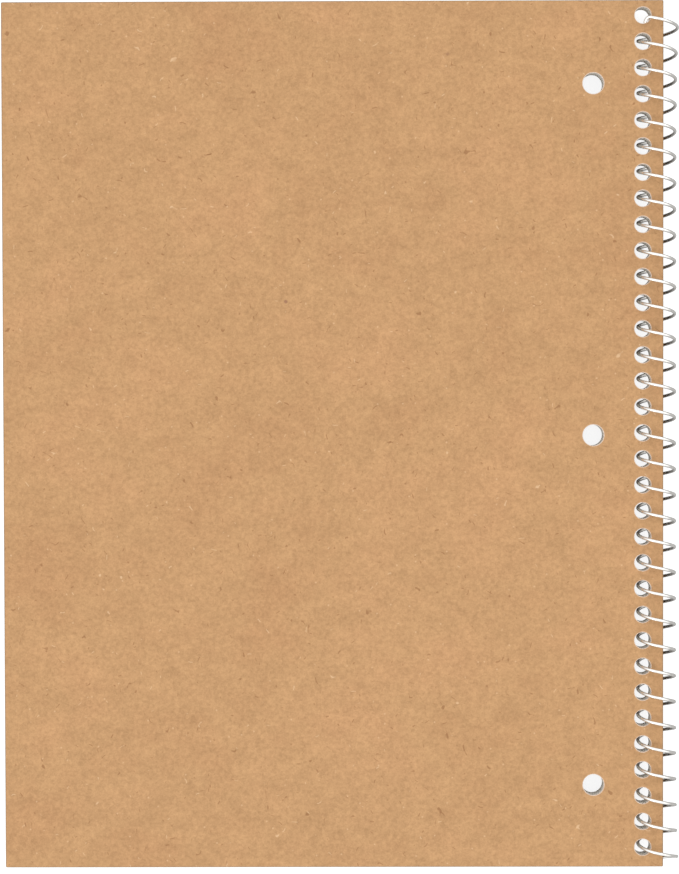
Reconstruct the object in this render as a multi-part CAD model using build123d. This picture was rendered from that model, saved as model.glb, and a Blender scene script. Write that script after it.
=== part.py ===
from build123d import *

import os

# A spiral-bound sketchbook lying face down: front cover below, blank sheets, back cover on top.
# +X is the spine side, +Y the top of the page, +Z up. The origin is at the middle of the box's bottom.
# All dimensions are in millimetres.

# Leaves: covers and sheets share one hole pattern, and the sheets are cut a little smaller.
PAGE_WIDTH = 203.2
PAGE_HEIGHT = 266.7
CORNER_RADIUS = 0.4
SHEET_INSET = 0.4
COVER_THICKNESS = 0.6
SHEET_THICKNESS = 0.14
LEAF_GAP = 0.015

# Sheets in each group that turns together, from the front cover up.
LOWER_SHEETS = 12
MIDDLE_LOWER_SHEETS = 2
MIDDLE_UPPER_SHEETS = 2
UPPER_SHEETS = 12

# Binding holes in a row along the spine, punched a little nearer the top of the page, and the
# ring-binder holes beside them.
BINDING_HOLES = 33
BINDING_PITCH = 8.0
BINDING_HOLE_DIAMETER = 5.0
BINDING_INSET = 6.3
BINDING_SHIFT = 0.7
RING_HOLES = 3
RING_SPACING = 107.95
RING_HOLE_DIAMETER = 6.45
RING_INSET = 21.5

# Spiral wire: a left-handed coil that passes through every binding hole but the first one at the top of
# the page. It starts with a plain cut end under the front cover, and its other end is bent towards the
# foot of the page over the first hole. Angles are about the coil's axis, from the spine side upwards.
WIRE_DIAMETER = 1.0
COIL_RADIUS = 5.7
COIL_INSET = 1.66
COIL_SHIFT = 0.5
COIL_DROP = 0.5
START_ANGLE = -80.0
END_ANGLE = 116.0
END_BEND_RADIUS = 1.3
END_BEND_ANGLE = 80.0
END_TAIL = 1.0
END_DIRECTION = (0, -1, 0)

# Levels, measured from the underside of the front cover.
SHEET_PITCH = SHEET_THICKNESS + LEAF_GAP
SHEETS = LOWER_SHEETS + MIDDLE_LOWER_SHEETS + MIDDLE_UPPER_SHEETS + UPPER_SHEETS
FIRST_SHEET_LEVEL = COVER_THICKNESS + LEAF_GAP
BACK_COVER_LEVEL = FIRST_SHEET_LEVEL + SHEETS * SHEET_PITCH
STACK_HEIGHT = BACK_COVER_LEVEL + COVER_THICKNESS

# The coil reaches further down and further out than the leaves, so it sets the box.
COIL_REACH = COIL_RADIUS + WIRE_DIAMETER / 2
COIL_LEVEL = COIL_REACH
STACK_LEVEL = COIL_LEVEL + COIL_DROP - STACK_HEIGHT / 2
SPINE_X = (PAGE_WIDTH + COIL_INSET - COIL_REACH) / 2
COIL_X = SPINE_X - COIL_INSET


def leaf(width, height, thickness, level):
    """One cover or sheet: a rounded panel with both rows of holes, spine edge at SPINE_X."""
    centre_x = SPINE_X - width / 2
    outline = Pos(centre_x, 0) * RectangleRounded(width, height, CORNER_RADIUS)
    binding_row = GridLocations(0, BINDING_PITCH, 1, BINDING_HOLES)
    binding = Pos(SPINE_X - BINDING_INSET, BINDING_SHIFT) * binding_row
    ring = Pos(SPINE_X - RING_INSET, 0) * GridLocations(0, RING_SPACING, 1, RING_HOLES)
    outline -= binding * Circle(BINDING_HOLE_DIAMETER / 2)
    outline -= ring * Circle(RING_HOLE_DIAMETER / 2)
    return extrude(Pos(0, 0, STACK_LEVEL + level) * outline, thickness)


def cover(level):
    """One board cover at its full size."""
    return leaf(PAGE_WIDTH, PAGE_HEIGHT, COVER_THICKNESS, level)


def sheet(index):
    """Sheet number index, counted from the front cover up, a little smaller than the covers."""
    level = FIRST_SHEET_LEVEL + (index - 1) * SHEET_PITCH
    return leaf(PAGE_WIDTH - SHEET_INSET, PAGE_HEIGHT - 2 * SHEET_INSET, SHEET_THICKNESS, level)


def bent_end(start, tangent, towards):
    """A stub of wire that carries on along tangent and then turns towards a direction."""
    side = (towards - tangent * towards.dot(tangent)).normalized()
    bend = Plane(origin=start, x_dir=tangent, z_dir=tangent.cross(side))
    arc = CenterArc((0, END_BEND_RADIUS), END_BEND_RADIUS, -90, END_BEND_ANGLE)
    tail = Line(arc @ 1, arc @ 1 + (arc % 1) * END_TAIL)
    path = bend * Wire([arc.edge(), tail.edge()])
    return sweep(Plane(origin=start, z_dir=tangent) * Circle(WIRE_DIAMETER / 2), path=path)


def spiral_wire():
    """The wire: a coil along Y that starts under the front cover and ends over the back cover's first hole."""
    last_hole_y = BINDING_SHIFT - (BINDING_HOLES - 1) * BINDING_PITCH / 2
    start_y = last_hole_y + COIL_SHIFT + BINDING_PITCH * (START_ANGLE - 180) / 360
    height = BINDING_PITCH * (BINDING_HOLES - 1 + (END_ANGLE - START_ANGLE) / 360)
    start_side = Vector(1, 0, 0).rotate(Axis.Y, -START_ANGLE)
    coil_plane = Plane(origin=(COIL_X, start_y, COIL_LEVEL), x_dir=start_side, z_dir=(0, 1, 0))
    path = coil_plane * Helix(pitch=BINDING_PITCH, height=height, radius=COIL_RADIUS, lefthand=True)
    section = Plane(origin=path @ 0, z_dir=path % 0) * Circle(WIRE_DIAMETER / 2)
    coil = sweep(section, path=path, is_frenet=True)
    return coil + bent_end(path @ 1, path % 1, Vector(END_DIRECTION))


os.makedirs("parts", exist_ok=True)
export_step(cover(0), "parts/front_cover.step")
for number in range(1, SHEETS + 1):
    export_step(sheet(number), f"parts/sheet_{number:02d}.step")
export_step(cover(BACK_COVER_LEVEL), "parts/back_cover.step")
export_step(spiral_wire(), "parts/spiral_wire.step")
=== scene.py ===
"""Spiral-bound sketchbook lying face down: kraft board covers, blank sheets and one spiral wire."""

import math

import bmesh
import bpy
from mathutils import Matrix, Vector, noise


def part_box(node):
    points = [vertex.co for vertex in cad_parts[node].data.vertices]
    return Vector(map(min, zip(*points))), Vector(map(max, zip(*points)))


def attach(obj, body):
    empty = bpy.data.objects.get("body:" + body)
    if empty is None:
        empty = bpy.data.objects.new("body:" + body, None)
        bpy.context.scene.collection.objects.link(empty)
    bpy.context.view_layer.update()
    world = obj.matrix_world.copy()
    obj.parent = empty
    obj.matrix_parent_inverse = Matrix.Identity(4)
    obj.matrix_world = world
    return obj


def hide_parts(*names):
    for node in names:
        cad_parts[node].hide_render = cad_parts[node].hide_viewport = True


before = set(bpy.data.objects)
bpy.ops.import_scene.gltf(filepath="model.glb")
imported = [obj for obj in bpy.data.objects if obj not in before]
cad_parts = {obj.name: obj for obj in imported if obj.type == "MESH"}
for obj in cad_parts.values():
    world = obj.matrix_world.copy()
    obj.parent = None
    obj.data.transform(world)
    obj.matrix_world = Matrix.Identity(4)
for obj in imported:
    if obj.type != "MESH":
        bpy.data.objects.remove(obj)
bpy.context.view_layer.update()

# Sizes are in metres, as the frame has them.
COVER_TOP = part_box("back_cover")[1].z
WIRE_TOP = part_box("spiral_wire")[1].z
WIRE_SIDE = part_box("spiral_wire")[1].x

# Covers: a row of binding holes along the spine, a little nearer the top of the page, and three ring
# holes beside it. Insets are from the spine edge to the middle of a hole.
BINDING_HOLES = 33
BINDING_PITCH = 0.008
BINDING_SHIFT = 0.0007
BINDING_INSET = 0.0063
BINDING_RADIUS = 0.0025
RING_INSET = 0.0215
RING_SPACING = 0.10795
RING_RADIUS = 0.003225
CORNER_RADIUS = 0.0004
EDGE_ROUNDING = 0.0002
CORNER_STEPS = 6
HOLE_STEPS = 16
EDGE_STEPS = 2

# Wire: a coil from under the front cover to its bent end on the back cover. Angles are about the coil's
# axis, from the spine side upwards. COIL_SHIFT is how far along the spine it lies from the middle of the
# holes, and END_TAPER is the share of its radius that is left at its two end faces.
WIRE_RADIUS = 0.0005
COIL_RADIUS = 0.0057
COIL_X = WIRE_SIDE - WIRE_RADIUS - COIL_RADIUS
COIL_Z = WIRE_TOP - WIRE_RADIUS - COIL_RADIUS
COIL_SHIFT = 0.0005
START_ANGLE = math.radians(-80.0)
END_ANGLE = math.radians(116.0)
END_BEND_RADIUS = 0.0013
END_BEND_ANGLE = math.radians(80.0)
END_TAIL = 0.001
END_DIRECTION = Vector((0, -1, 0))
END_TAPER = 0.72
POINTS_PER_TURN = 48
POINTS_IN_BEND = 10
POINTS_IN_TAIL = (0.5, 0.94, 1.0)
WIRE_SIDES = 16

# How each turn's outer side strays from a true coil: pressed flat, wandering in and out and along the
# spine, and bulging over the last few turns at each end.
FLATTENING = 0.00016
WANDER = 0.00006
WANDERS_PER_TURN = 1.7
DRIFT = 0.00015
DRIFTS_PER_TURN = 1.3
END_BULGE = 0.0008
BULGE_TURNS = 1.8
OUTER_SIDE_POWER = 4

# The main view: down on the back cover, about a degree off the upright.
CAMERA_PLACE = (0.0035, 0.0138)
CAMERA_HEIGHT = 0.671
CAMERA_TILT = (math.radians(-1.21), math.radians(0.32), math.radians(-0.15))
CAMERA_CLIP = 0.01
SENSOR_HEIGHT = 24.0
FIELD_OF_VIEW = math.radians(22.67)

# The studio: a sky that is darker near the ground, two soft lights and a square floor.
SKY_STRENGTH = 1.25
SKY_TONES = [(0.05, (0.36, 0.36, 0.36)), (0.50, (1.0, 1.0, 1.0))]
KEY_LIGHT = {"place": (-0.6, -0.8, 1.1), "size": 0.6, "power": 2.5}
FILL_LIGHT = {"place": (1.0, 0.8, 1.2), "size": 1.0, "power": 1.5}
FLOOR_REACH = 3.0

# Colour ramps over a noise value, as (position, linear RGB). A flake or grain tone above a half lightens
# the board, and one below a half darkens it.
KRAFT_TONES = [(0.30, (0.452, 0.249, 0.118)), (0.50, (0.470, 0.270, 0.128)), (0.70, (0.494, 0.276, 0.133))]
FLAKE_TONES = [(0.30, (0.38, 0.37, 0.36)), (0.70, (0.62, 0.63, 0.64))]
GRAIN_TONES = [(0.30, (0.32, 0.31, 0.29)), (0.50, (0.50, 0.50, 0.50)), (0.70, (0.66, 0.67, 0.68))]
PULP_TONES = [(0.3, (0.62, 0.46, 0.36)), (0.7, (0.80, 0.65, 0.54))]
# The outer edge's tones: the kraft colour darkened as painted shade along the rounded rim.
SHADED_RIM_TONES = [(0.3, (0.21, 0.125, 0.065)), (0.7, (0.33, 0.205, 0.11))]
PAPER_TONES = [(0.3, (0.71, 0.68, 0.62)), (0.7, (0.73, 0.702, 0.645))]
# The wire's tones: pale steel grey warmed a little, a painted reflection of the kraft cover.
STEEL_AND_COVER_REFLECTION_TONES = [(0.3, (0.86, 0.84, 0.80)), (0.7, (0.92, 0.90, 0.86))]

# How strongly each layer covers the board, and its hairs and specks. A CORE is the share of a hair's or
# speck's width at full strength, and a FADE is how far a rare one's noise value runs from none to full.
FLAKE_WEIGHT = 0.25
GRAIN_WEIGHT = 0.48
DARK_HAIR = (0.255, 0.118, 0.048)
DARK_HAIR_WEIGHT = 0.60
PALE_HAIR = (0.78, 0.55, 0.34)
PALE_HAIR_WEIGHT = 0.45
HAIR_WIDTH = 0.018
HAIR_CORE = 0.35
HAIR_PATCHES = 430.0
HAIR_FADE = 0.03
SPECK_CORE = 0.4
SPECK_FADE = 0.01

# What the floor shows to the camera, to polished metal and to everything else.
FLOOR_GLOW = (0.86, 0.86, 0.86)
FLOOR_REFLECTED = (0.42, 0.42, 0.42)
FLOOR_COLOUR = (0.30, 0.30, 0.30)
NO_GLOW = (0.0, 0.0, 0.0)


# ---------------------------------------------------------------- material nodes

def new_material(name, roughness, specular, metallic=0.0):
    """An empty node material; returns (material, nodes, links, shader)."""
    material = bpy.data.materials.new(name)
    material.use_nodes = True
    nodes, links = material.node_tree.nodes, material.node_tree.links
    shader = nodes["Principled BSDF"]
    shader.inputs["Roughness"].default_value = roughness
    shader.inputs["Metallic"].default_value = metallic
    shader.inputs["Specular IOR Level"].default_value = specular
    return material, nodes, links, shader


def object_coordinates(nodes, links, scale=(1, 1, 1), rotation=(0, 0, 0), offset=(0, 0, 0)):
    """Object coordinates through a mapping: one unit is a metre before the scale."""
    coordinates = nodes.new("ShaderNodeTexCoord")
    mapping = nodes.new("ShaderNodeMapping")
    mapping.inputs["Scale"].default_value = scale
    mapping.inputs["Rotation"].default_value = rotation
    mapping.inputs["Location"].default_value = offset
    links.new(coordinates.outputs["Object"], mapping.inputs["Vector"])
    return mapping.outputs["Vector"]


def noise_value(nodes, links, vector, scale, detail=4.0, roughness=0.55, distortion=0.0):
    """A noise texture's value, about 0 to 1."""
    texture = nodes.new("ShaderNodeTexNoise")
    texture.inputs["Scale"].default_value = scale
    texture.inputs["Detail"].default_value = detail
    texture.inputs["Roughness"].default_value = roughness
    texture.inputs["Distortion"].default_value = distortion
    links.new(vector, texture.inputs["Vector"])
    return texture.outputs["Fac"]


def ramp(nodes, links, value, stops):
    """A colour ramp over value; stops are (position, rgb)."""
    node = nodes.new("ShaderNodeValToRGB")
    node.color_ramp.elements[0].position = stops[0][0]
    node.color_ramp.elements[0].color = (*stops[0][1], 1)
    node.color_ramp.elements[1].position = stops[-1][0]
    node.color_ramp.elements[1].color = (*stops[-1][1], 1)
    for position, colour in stops[1:-1]:
        node.color_ramp.elements.new(position).color = (*colour, 1)
    links.new(value, node.inputs["Fac"])
    return node.outputs["Color"]


def mix(nodes, links, kind, factor, below, above):
    """Blends two colours. Each input is a socket, or a number for factor and an rgb for a colour."""
    node = nodes.new("ShaderNodeMix")
    node.data_type = "RGBA"
    node.blend_type = kind
    for socket, value in ((node.inputs[0], factor), (node.inputs[6], below), (node.inputs[7], above)):
        if isinstance(value, bpy.types.NodeSocket):
            links.new(value, socket)
        elif isinstance(value, tuple):
            socket.default_value = (*value, 1)
        else:
            socket.default_value = value
    return node.outputs[2]


def rise(nodes, links, value, zero_at, one_at):
    """Where a value lies between two numbers: 0 at zero_at, 1 at one_at and level beyond them. It falls
    as the value grows if zero_at is the larger one."""
    node = nodes.new("ShaderNodeMapRange")
    node.inputs["From Min"].default_value = zero_at
    node.inputs["From Max"].default_value = one_at
    links.new(value, node.inputs["Value"])
    return node.outputs["Result"]


def multiply(nodes, links, one, other):
    """The product of a socket's value and another socket's value or a number."""
    node = nodes.new("ShaderNodeMath")
    node.operation = "MULTIPLY"
    links.new(one, node.inputs[0])
    if isinstance(other, bpy.types.NodeSocket):
        links.new(other, node.inputs[1])
    else:
        node.inputs[1].default_value = other
    return node.outputs[0]


def bump(nodes, links, shader, height, strength, distance):
    """Bump on the shader from a height value."""
    node = nodes.new("ShaderNodeBump")
    node.inputs["Strength"].default_value = strength
    node.inputs["Distance"].default_value = distance
    links.new(height, node.inputs["Height"])
    links.new(node.outputs["Normal"], shader.inputs["Normal"])


def distance_from_middle(nodes, links, value):
    """How far a noise value is from its middle, 0.5."""
    offset = nodes.new("ShaderNodeMath")
    offset.operation = "SUBTRACT"
    offset.inputs[1].default_value = 0.5
    links.new(value, offset.inputs[0])
    size = nodes.new("ShaderNodeMath")
    size.operation = "ABSOLUTE"
    links.new(offset.outputs[0], size.inputs[0])
    return size.outputs[0]


# ---------------------------------------------------------------- materials

def hairs(nodes, links, seed, curl, share):
    """Short curved hairs in every direction: pieces of a noise's contour lines, 1 on a hair. share is
    the noise value above which a patch keeps its hairs."""
    where = object_coordinates(nodes, links, (1, 1, 0), (0, 0, seed), (seed, seed * 1.7, 0))
    contour = distance_from_middle(nodes, links, noise_value(nodes, links, where, curl, detail=0.0))
    line = rise(nodes, links, contour, HAIR_WIDTH, HAIR_WIDTH * HAIR_CORE)
    patches = noise_value(nodes, links, where, HAIR_PATCHES, detail=0.0)
    patch = rise(nodes, links, patches, share, share + HAIR_FADE)
    return multiply(nodes, links, line, patch)


def specks(nodes, links, seed, cells, radius, share):
    """Sparse round specks: 1 in the middle of the few cells whose colour is above share."""
    where = object_coordinates(nodes, links, (1, 1, 0), (0, 0, 0), (seed, -seed, 0))
    texture = nodes.new("ShaderNodeTexVoronoi")
    texture.voronoi_dimensions = "2D"
    texture.inputs["Scale"].default_value = cells
    links.new(where, texture.inputs["Vector"])
    near = rise(nodes, links, texture.outputs["Distance"], radius, radius * SPECK_CORE)
    separate = nodes.new("ShaderNodeSeparateColor")
    links.new(texture.outputs["Color"], separate.inputs["Color"])
    chosen = rise(nodes, links, separate.outputs["Red"], share, share + SPECK_FADE)
    return multiply(nodes, links, near, chosen)


def kraft_board():
    """Matt kraft board: softly mottled tan with a fine grain, sparse dark and pale hairs and specks."""
    material, nodes, links, shader = new_material("kraft_board", roughness=0.86, specular=0.22)
    cloud = noise_value(nodes, links, object_coordinates(nodes, links, scale=(0.8, 1, 1)), 38.0,
                        detail=5.0, roughness=0.6)
    colour = ramp(nodes, links, cloud, KRAFT_TONES)
    flakes = noise_value(nodes, links, object_coordinates(nodes, links, scale=(0.75, 1, 1)), 190.0,
                         detail=3.0, roughness=0.6, distortion=0.4)
    colour = mix(nodes, links, "OVERLAY", FLAKE_WEIGHT, colour, ramp(nodes, links, flakes, FLAKE_TONES))
    grain = noise_value(nodes, links, object_coordinates(nodes, links), 900.0,
                        detail=4.0, roughness=0.75, distortion=0.3)
    colour = mix(nodes, links, "OVERLAY", GRAIN_WEIGHT, colour, ramp(nodes, links, grain, GRAIN_TONES))
    for seed, curl, share, tint, weight in (
            (1.3, 170.0, 0.725, DARK_HAIR, DARK_HAIR_WEIGHT),
            (4.1, 240.0, 0.735, DARK_HAIR, DARK_HAIR_WEIGHT),
            (7.7, 120.0, 0.73, DARK_HAIR, DARK_HAIR_WEIGHT),
            (11.9, 200.0, 0.73, PALE_HAIR, PALE_HAIR_WEIGHT)):
        hair = multiply(nodes, links, hairs(nodes, links, seed, curl, share), weight)
        colour = mix(nodes, links, "MIX", hair, colour, tint)
    for seed, cells, radius, share, tint, weight in (
            (3.0, 520.0, 0.18, 0.975, (0.74, 0.50, 0.30), 0.45),
            (9.0, 420.0, 0.14, 0.985, (0.27, 0.125, 0.055), 0.5),
            (5.0, 60.0, 0.045, 0.985, (0.20, 0.085, 0.065), 0.6)):
        speck = multiply(nodes, links, specks(nodes, links, seed, cells, radius, share), weight)
        colour = mix(nodes, links, "MIX", speck, colour, tint)
    links.new(colour, shader.inputs["Base Color"])
    bump(nodes, links, shader, grain, strength=0.25, distance=0.0001)
    return material


def board_edge():
    """The board's cut edge: paler, pinkish grey pulp."""
    material, nodes, links, shader = new_material("board_edge", roughness=0.92, specular=0.15)
    layers = noise_value(nodes, links, object_coordinates(nodes, links, scale=(1, 1, 6)), 1500.0)
    links.new(ramp(nodes, links, layers, PULP_TONES), shader.inputs["Base Color"])
    bump(nodes, links, shader, layers, strength=0.3, distance=0.00008)
    return material


def shaded_outer_edge():
    """The board's outer edge: the kraft colour, darkened all along as painted shade on the rounded rim."""
    material, nodes, links, shader = new_material("shaded_outer_edge", roughness=0.9, specular=0.15)
    layers = noise_value(nodes, links, object_coordinates(nodes, links), 1200.0)
    links.new(ramp(nodes, links, layers, SHADED_RIM_TONES), shader.inputs["Base Color"])
    bump(nodes, links, shader, layers, strength=0.3, distance=0.00008)
    return material


def drawing_paper():
    """Blank cream-white drawing paper with a slight tooth."""
    material, nodes, links, shader = new_material("drawing_paper", roughness=0.9, specular=0.2)
    tooth = noise_value(nodes, links, object_coordinates(nodes, links), 2200.0, detail=3.0)
    cloud = noise_value(nodes, links, object_coordinates(nodes, links), 60.0, detail=3.0)
    links.new(ramp(nodes, links, cloud, PAPER_TONES), shader.inputs["Base Color"])
    bump(nodes, links, shader, tooth, strength=0.2, distance=0.00004)
    return material


def bright_wire():
    """Drawn steel wire, bright, with marks that vary its roughness from about 0.15 to 0.25."""
    material, nodes, links, shader = new_material("bright_wire", roughness=0.2, specular=0.5, metallic=1.0)
    marks = noise_value(nodes, links, object_coordinates(nodes, links), 500.0, detail=2.0)
    # Its colour is warmed a little as a painted reflection of the kraft cover.
    links.new(ramp(nodes, links, marks, STEEL_AND_COVER_REFLECTION_TONES), shader.inputs["Base Color"])
    links.new(rise(nodes, links, marks, zero_at=-0.3, one_at=3.7), shader.inputs["Roughness"])
    return material


def floor_material():
    """Plain white floor that looks lit from below, so that it is white under the book too. Polished
    metal sees it as grey, so the wire keeps its darker sides."""
    material, nodes, links, shader = new_material("pale_floor", roughness=0.8, specular=0.2)
    path = nodes.new("ShaderNodeLightPath")
    colour = mix(nodes, links, "MIX", path.outputs["Is Glossy Ray"], FLOOR_COLOUR, FLOOR_REFLECTED)
    glow = mix(nodes, links, "MIX", path.outputs["Is Camera Ray"], NO_GLOW, FLOOR_GLOW)
    links.new(colour, shader.inputs["Base Color"])
    links.new(glow, shader.inputs["Emission Color"])
    shader.inputs["Emission Strength"].default_value = 1.0
    return material


# ---------------------------------------------------------------- covers

FACE, CUT_EDGE, SHADED_OUTER_EDGE = range(3)
FACE_LEVEL = 0.97
FLAT_LEVEL = 0.999


def hole_y(index):
    """Where a binding hole lies along the spine. index counts from the foot of the page."""
    return BINDING_SHIFT + (index - (BINDING_HOLES - 1) / 2) * BINDING_PITCH


def circle_spline(curve, x, y, radius):
    """A round hole in a flat curve: four points with round handles."""
    spline = curve.splines.new("BEZIER")
    spline.bezier_points.add(3)
    for index, point in enumerate(spline.bezier_points):
        angle = -index * math.pi / 2
        point.co = (x + radius * math.cos(angle), y + radius * math.sin(angle), 0)
        point.handle_left_type = point.handle_right_type = "AUTO"
    spline.use_cyclic_u = True
    spline.resolution_u = HOLE_STEPS


def rounded_rectangle(curve, low, high, radius):
    """The outline of a panel, with each corner as a short round stretch."""
    points = []
    for x, y, start in ((high.x, high.y, 0), (low.x, high.y, 90), (low.x, low.y, 180), (high.x, low.y, 270)):
        centre_x = x - math.copysign(radius, x)
        centre_y = y - math.copysign(radius, y)
        for step in range(CORNER_STEPS + 1):
            angle = math.radians(start + 90 * step / CORNER_STEPS)
            points.append((centre_x + radius * math.cos(angle), centre_y + radius * math.sin(angle)))
    spline = curve.splines.new("POLY")
    spline.points.add(len(points) - 1)
    for point, (x, y) in zip(spline.points, points):
        point.co = (x, y, 0, 1)
    spline.use_cyclic_u = True


def board_mesh(node, low, high):
    """A panel with both rows of holes and softly rounded edges, in the box of a CAD cover."""
    curve = bpy.data.curves.new(node + "_outline", "CURVE")
    curve.dimensions = "2D"
    curve.fill_mode = "BOTH"
    rounded_rectangle(curve, low, high, CORNER_RADIUS)
    for index in range(BINDING_HOLES):
        circle_spline(curve, high.x - BINDING_INSET, hole_y(index), BINDING_RADIUS)
    for step in (-1, 0, 1):
        circle_spline(curve, high.x - RING_INSET, step * RING_SPACING, RING_RADIUS)
    curve.bevel_depth = EDGE_ROUNDING
    curve.bevel_resolution = EDGE_STEPS
    curve.extrude = (high.z - low.z) / 2 - EDGE_ROUNDING
    curve.offset = -EDGE_ROUNDING
    flat = bpy.data.objects.new(node + "_outline", curve)
    bpy.context.scene.collection.objects.link(flat)
    bpy.context.view_layer.update()
    mesh = bpy.data.meshes.new_from_object(flat.evaluated_get(bpy.context.evaluated_depsgraph_get()))
    bpy.data.objects.remove(flat)
    mesh.transform(Matrix.Translation((0, 0, (low.z + high.z) / 2)))
    mesh.name = node + "_board"
    return mesh


def board_cover(node, face, cut, shaded_rim):
    """A cover in the place of a CAD cover: kraft faces, pale pulp in the holes, and painted shade on the
    outer edge.
    """
    low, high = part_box(node)
    mesh = board_mesh(node, low, high)
    cover = bpy.data.objects.new(node + "_board", mesh)
    bpy.context.scene.collection.objects.link(cover)
    mesh.materials.clear()
    for material in (face, cut, shaded_rim):
        mesh.materials.append(material)
    # Polygons on the outer edge take the darker tones that paint shade there.
    for polygon in mesh.polygons:
        x, y, level = polygon.center.x, polygon.center.y, abs(polygon.normal.z)
        from_outline = min(x - low.x, high.x - x, y - low.y, high.y - y)
        if level > FACE_LEVEL:
            polygon.material_index = FACE
        elif from_outline < 2 * EDGE_ROUNDING:
            polygon.material_index = SHADED_OUTER_EDGE
        else:
            polygon.material_index = CUT_EDGE
        polygon.use_smooth = level < FLAT_LEVEL
    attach(cover, "front_block" if node == "front_cover" else "back_block")
    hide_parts(node)


# ---------------------------------------------------------------- wire

def coil_point(angle):
    """A point on the wire's middle line. angle counts from the turn at the foot of the page, and the wire
    stays true in the holes, at half a turn."""
    turn = angle / (2 * math.pi)
    outer = max(0.0, math.cos(angle)) ** OUTER_SIDE_POWER
    near_end = math.exp(-max(turn, 0) / BULGE_TURNS) + math.exp((turn - BINDING_HOLES + 1) / BULGE_TURNS)
    wander = WANDER * noise.noise(Vector((turn * WANDERS_PER_TURN, 3.1, 0.0)))
    drift = DRIFT * noise.noise(Vector((turn * DRIFTS_PER_TURN, 8.4, 2.0)))
    radius = COIL_RADIUS + outer * (wander + END_BULGE * min(near_end, 1.0) - FLATTENING)
    y = hole_y(0) + COIL_SHIFT + BINDING_PITCH * (turn - 0.5) + outer * drift
    return Vector((COIL_X + radius * math.cos(angle), y, COIL_Z + radius * math.sin(angle)))


def bent_end(start, tangent, towards):
    """Points of a stub that turns from tangent towards a direction and runs on straight."""
    side = (towards - tangent * towards.dot(tangent)).normalized()
    points = []
    for step in range(1, POINTS_IN_BEND + 1):
        angle = END_BEND_ANGLE * step / POINTS_IN_BEND
        points.append(start + END_BEND_RADIUS * (tangent * math.sin(angle) + side * (1 - math.cos(angle))))
    heading = tangent * math.cos(END_BEND_ANGLE) + side * math.sin(END_BEND_ANGLE)
    points += [points[-1] + heading * END_TAIL * share for share in POINTS_IN_TAIL]
    return points


def wire_line():
    """The wire's middle line: the coil from its cut end, then the bent end."""
    last_angle = 2 * math.pi * (BINDING_HOLES - 1) + END_ANGLE
    sweep = last_angle - START_ANGLE
    count = int(sweep / (2 * math.pi) * POINTS_PER_TURN)
    line = [coil_point(START_ANGLE + sweep * index / count) for index in range(count + 1)]
    return line + bent_end(line[-1], (line[-1] - line[-2]).normalized(), END_DIRECTION)


def round_tube(line):
    """A closed round tube along a line, a little thinner at both ends."""
    shape = bmesh.new()
    rings = []
    turns = [2 * math.pi * side / WIRE_SIDES for side in range(WIRE_SIDES)]
    last = len(line) - 1
    normal = Vector((0, 0, 1))
    for index, point in enumerate(line):
        ahead = (line[min(index + 1, last)] - line[max(index - 1, 0)]).normalized()
        normal = (normal - ahead * normal.dot(ahead)).normalized()
        across = ahead.cross(normal)
        radius = WIRE_RADIUS * END_TAPER if index in (0, last) else WIRE_RADIUS
        rings.append([shape.verts.new(point + radius * (normal * math.cos(turn) + across * math.sin(turn)))
                      for turn in turns])
    for one, other in zip(rings, rings[1:]):
        for side in range(WIRE_SIDES):
            after = (side + 1) % WIRE_SIDES
            shape.faces.new((one[side], one[after], other[after], other[side])).smooth = True
    shape.faces.new(rings[0][::-1])
    shape.faces.new(rings[-1])
    bmesh.ops.recalc_face_normals(shape, faces=shape.faces[:])
    mesh = bpy.data.meshes.new("drawn_wire")
    shape.to_mesh(mesh)
    shape.free()
    return mesh


def spiral_wire(material):
    """The whole wire as one smooth piece in the place of the CAD wire."""
    mesh = round_tube(wire_line())
    mesh.materials.append(material)
    wire = bpy.data.objects.new("drawn_wire", mesh)
    bpy.context.scene.collection.objects.link(wire)
    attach(wire, "coil")
    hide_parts("spiral_wire")


# ---------------------------------------------------------------- camera, light and floor

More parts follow.
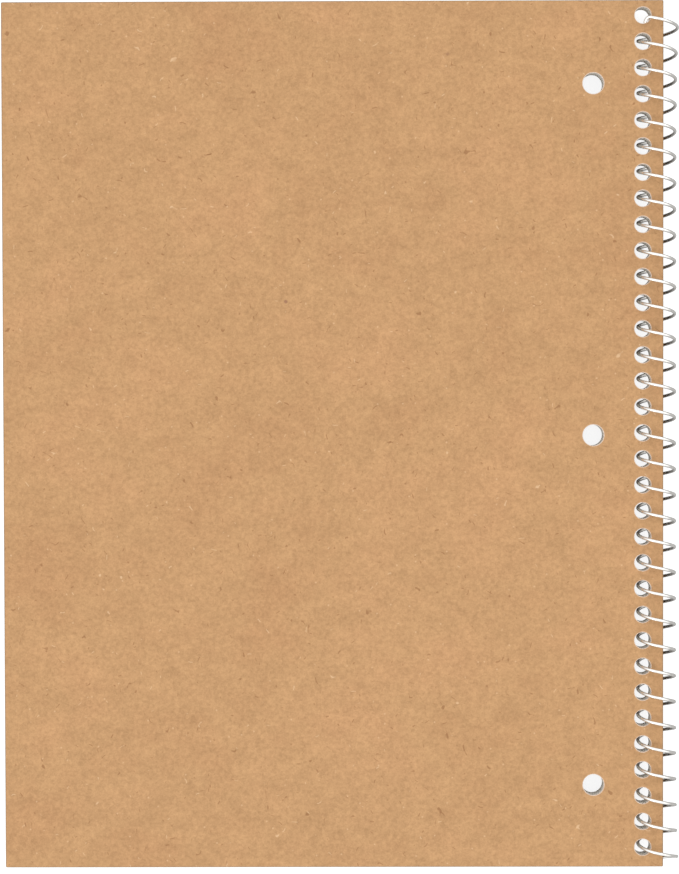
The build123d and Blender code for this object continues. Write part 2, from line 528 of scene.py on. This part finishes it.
def add_camera():
    """The main view."""
    data = bpy.data.cameras.new("camera")
    data.sensor_fit = "VERTICAL"
    data.sensor_height = SENSOR_HEIGHT
    data.lens = SENSOR_HEIGHT / 2 / math.tan(FIELD_OF_VIEW / 2)
    data.clip_start = CAMERA_CLIP
    camera = bpy.data.objects.new("camera", data)
    camera.location = (*CAMERA_PLACE, COVER_TOP + CAMERA_HEIGHT)
    camera.rotation_euler = CAMERA_TILT
    bpy.context.scene.collection.objects.link(camera)
    bpy.context.scene.camera = camera


def add_sky():
    """Even light from all round, weaker from near the ground."""
    world = bpy.data.worlds.new("studio")
    world.use_nodes = True
    nodes, links = world.node_tree.nodes, world.node_tree.links
    coordinates = nodes.new("ShaderNodeTexCoord")
    separate = nodes.new("ShaderNodeSeparateXYZ")
    links.new(coordinates.outputs["Generated"], separate.inputs["Vector"])
    sky = ramp(nodes, links, separate.outputs["Z"], SKY_TONES)
    links.new(sky, nodes["Background"].inputs["Color"])
    nodes["Background"].inputs["Strength"].default_value = SKY_STRENGTH
    bpy.context.scene.world = world


def add_area_light(name, place, size, power):
    """A soft square light that faces the book."""
    data = bpy.data.lights.new(name, "AREA")
    data.size = size
    data.energy = power
    light = bpy.data.objects.new(name, data)
    light.location = place
    light.rotation_euler = (-Vector(place)).to_track_quat("-Z", "Y").to_euler()
    bpy.context.scene.collection.objects.link(light)


def add_floor():
    """The plain floor that the book lies on, which is no part of it."""
    corners = [(x * FLOOR_REACH, y * FLOOR_REACH, 0) for x, y in ((-1, -1), (1, -1), (1, 1), (-1, 1))]
    mesh = bpy.data.meshes.new("floor")
    mesh.from_pydata(corners, [], [(0, 1, 2, 3)])
    mesh.materials.append(floor_material())
    floor = bpy.data.objects.new("floor", mesh)
    bpy.context.scene.collection.objects.link(floor)


add_camera()
add_sky()
add_area_light("key", **KEY_LIGHT)
add_area_light("fill", **FILL_LIGHT)
add_floor()
bpy.context.scene.view_settings.view_transform = "Standard"

board, cut, shaded_rim = kraft_board(), board_edge(), shaded_outer_edge()
paper, steel = drawing_paper(), bright_wire()
board_cover("back_cover", board, cut, shaded_rim)
board_cover("front_cover", board, cut, shaded_rim)
for name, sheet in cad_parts.items():
    if name.startswith("sheet"):
        sheet.data.materials.clear()
        sheet.data.materials.append(paper)
spiral_wire(steel)
